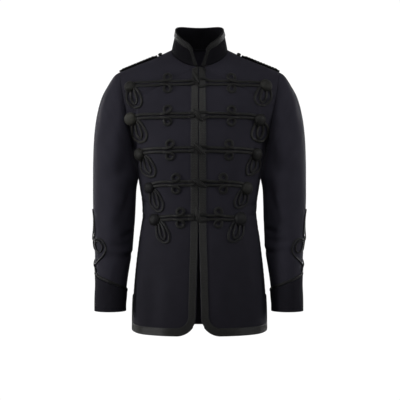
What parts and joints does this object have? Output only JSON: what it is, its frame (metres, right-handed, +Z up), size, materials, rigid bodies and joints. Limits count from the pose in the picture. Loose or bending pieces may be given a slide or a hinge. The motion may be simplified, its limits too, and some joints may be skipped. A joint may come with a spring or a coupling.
{
  "type": "military uniform jacket",
  "caption": "Dark blue wool officer's patrol jacket with a velvet stand collar, pointed cuffs, braid edging, frogging with olivets, netted caps and drops.",
  "frame": {"origin": "middle of the neck opening at the height of the side-neck seams, where the wearer's neck and shoulders hold the jacket up", "axes": "+Z up the body, -Y to the front, +X to the wearer's left"},
  "size_m": [0.5768, 0.2852, 0.8073],
  "materials": {
    "wool": "matte",
    "velvet": "matte",
    "braid": "satin",
    "cord": "satin"
  },
  "bodies": {
    "root": {"back": "wool", "back_braid": "braid", "cap_left_1": "cord", "cap_left_2": "cord", "cap_left_3": "cord", "cap_left_4": "cord", "cap_left_5": "cord", "cap_right_1": "cord", "cap_right_2": "cord", "cap_right_3": "cord", "cap_right_4": "cord", "cap_right_5": "cord", "collar": "velvet", "collar_braid": "braid", "cuff_cord_left": "cord", "cuff_cord_right": "cord", "cuff_left": "velvet", "cuff_right": "velvet", "drop_left_1": "cord", "drop_left_2": "cord", "drop_left_3": "cord", "drop_left_4": "cord", "drop_left_5": "cord", "drop_right_1": "cord", "drop_right_2": "cord", "drop_right_3": "cord", "drop_right_4": "cord", "drop_right_5": "cord", "frog_left_1": "cord", "frog_left_2": "cord", "frog_left_3": "cord", "frog_left_4": "cord", "frog_left_5": "cord", "frog_right_1": "cord", "frog_right_2": "cord", "frog_right_3": "cord", "frog_right_4": "cord", "frog_right_5": "cord", "front_braid_left": "braid", "front_braid_right": "braid", "front_left": "wool", "front_right": "wool", "olivet_1": "cord", "olivet_2": "cord", "olivet_3": "cord", "olivet_4": "cord", "olivet_5": "cord", "shoulder_button_left": "cord", "shoulder_button_right": "cord", "shoulder_cord_left": "cord", "shoulder_cord_right": "cord", "sleeve_knot_left": "cord", "sleeve_knot_right": "cord", "sleeve_left": "wool", "sleeve_right": "wool"}
  },
  "joints": []
}
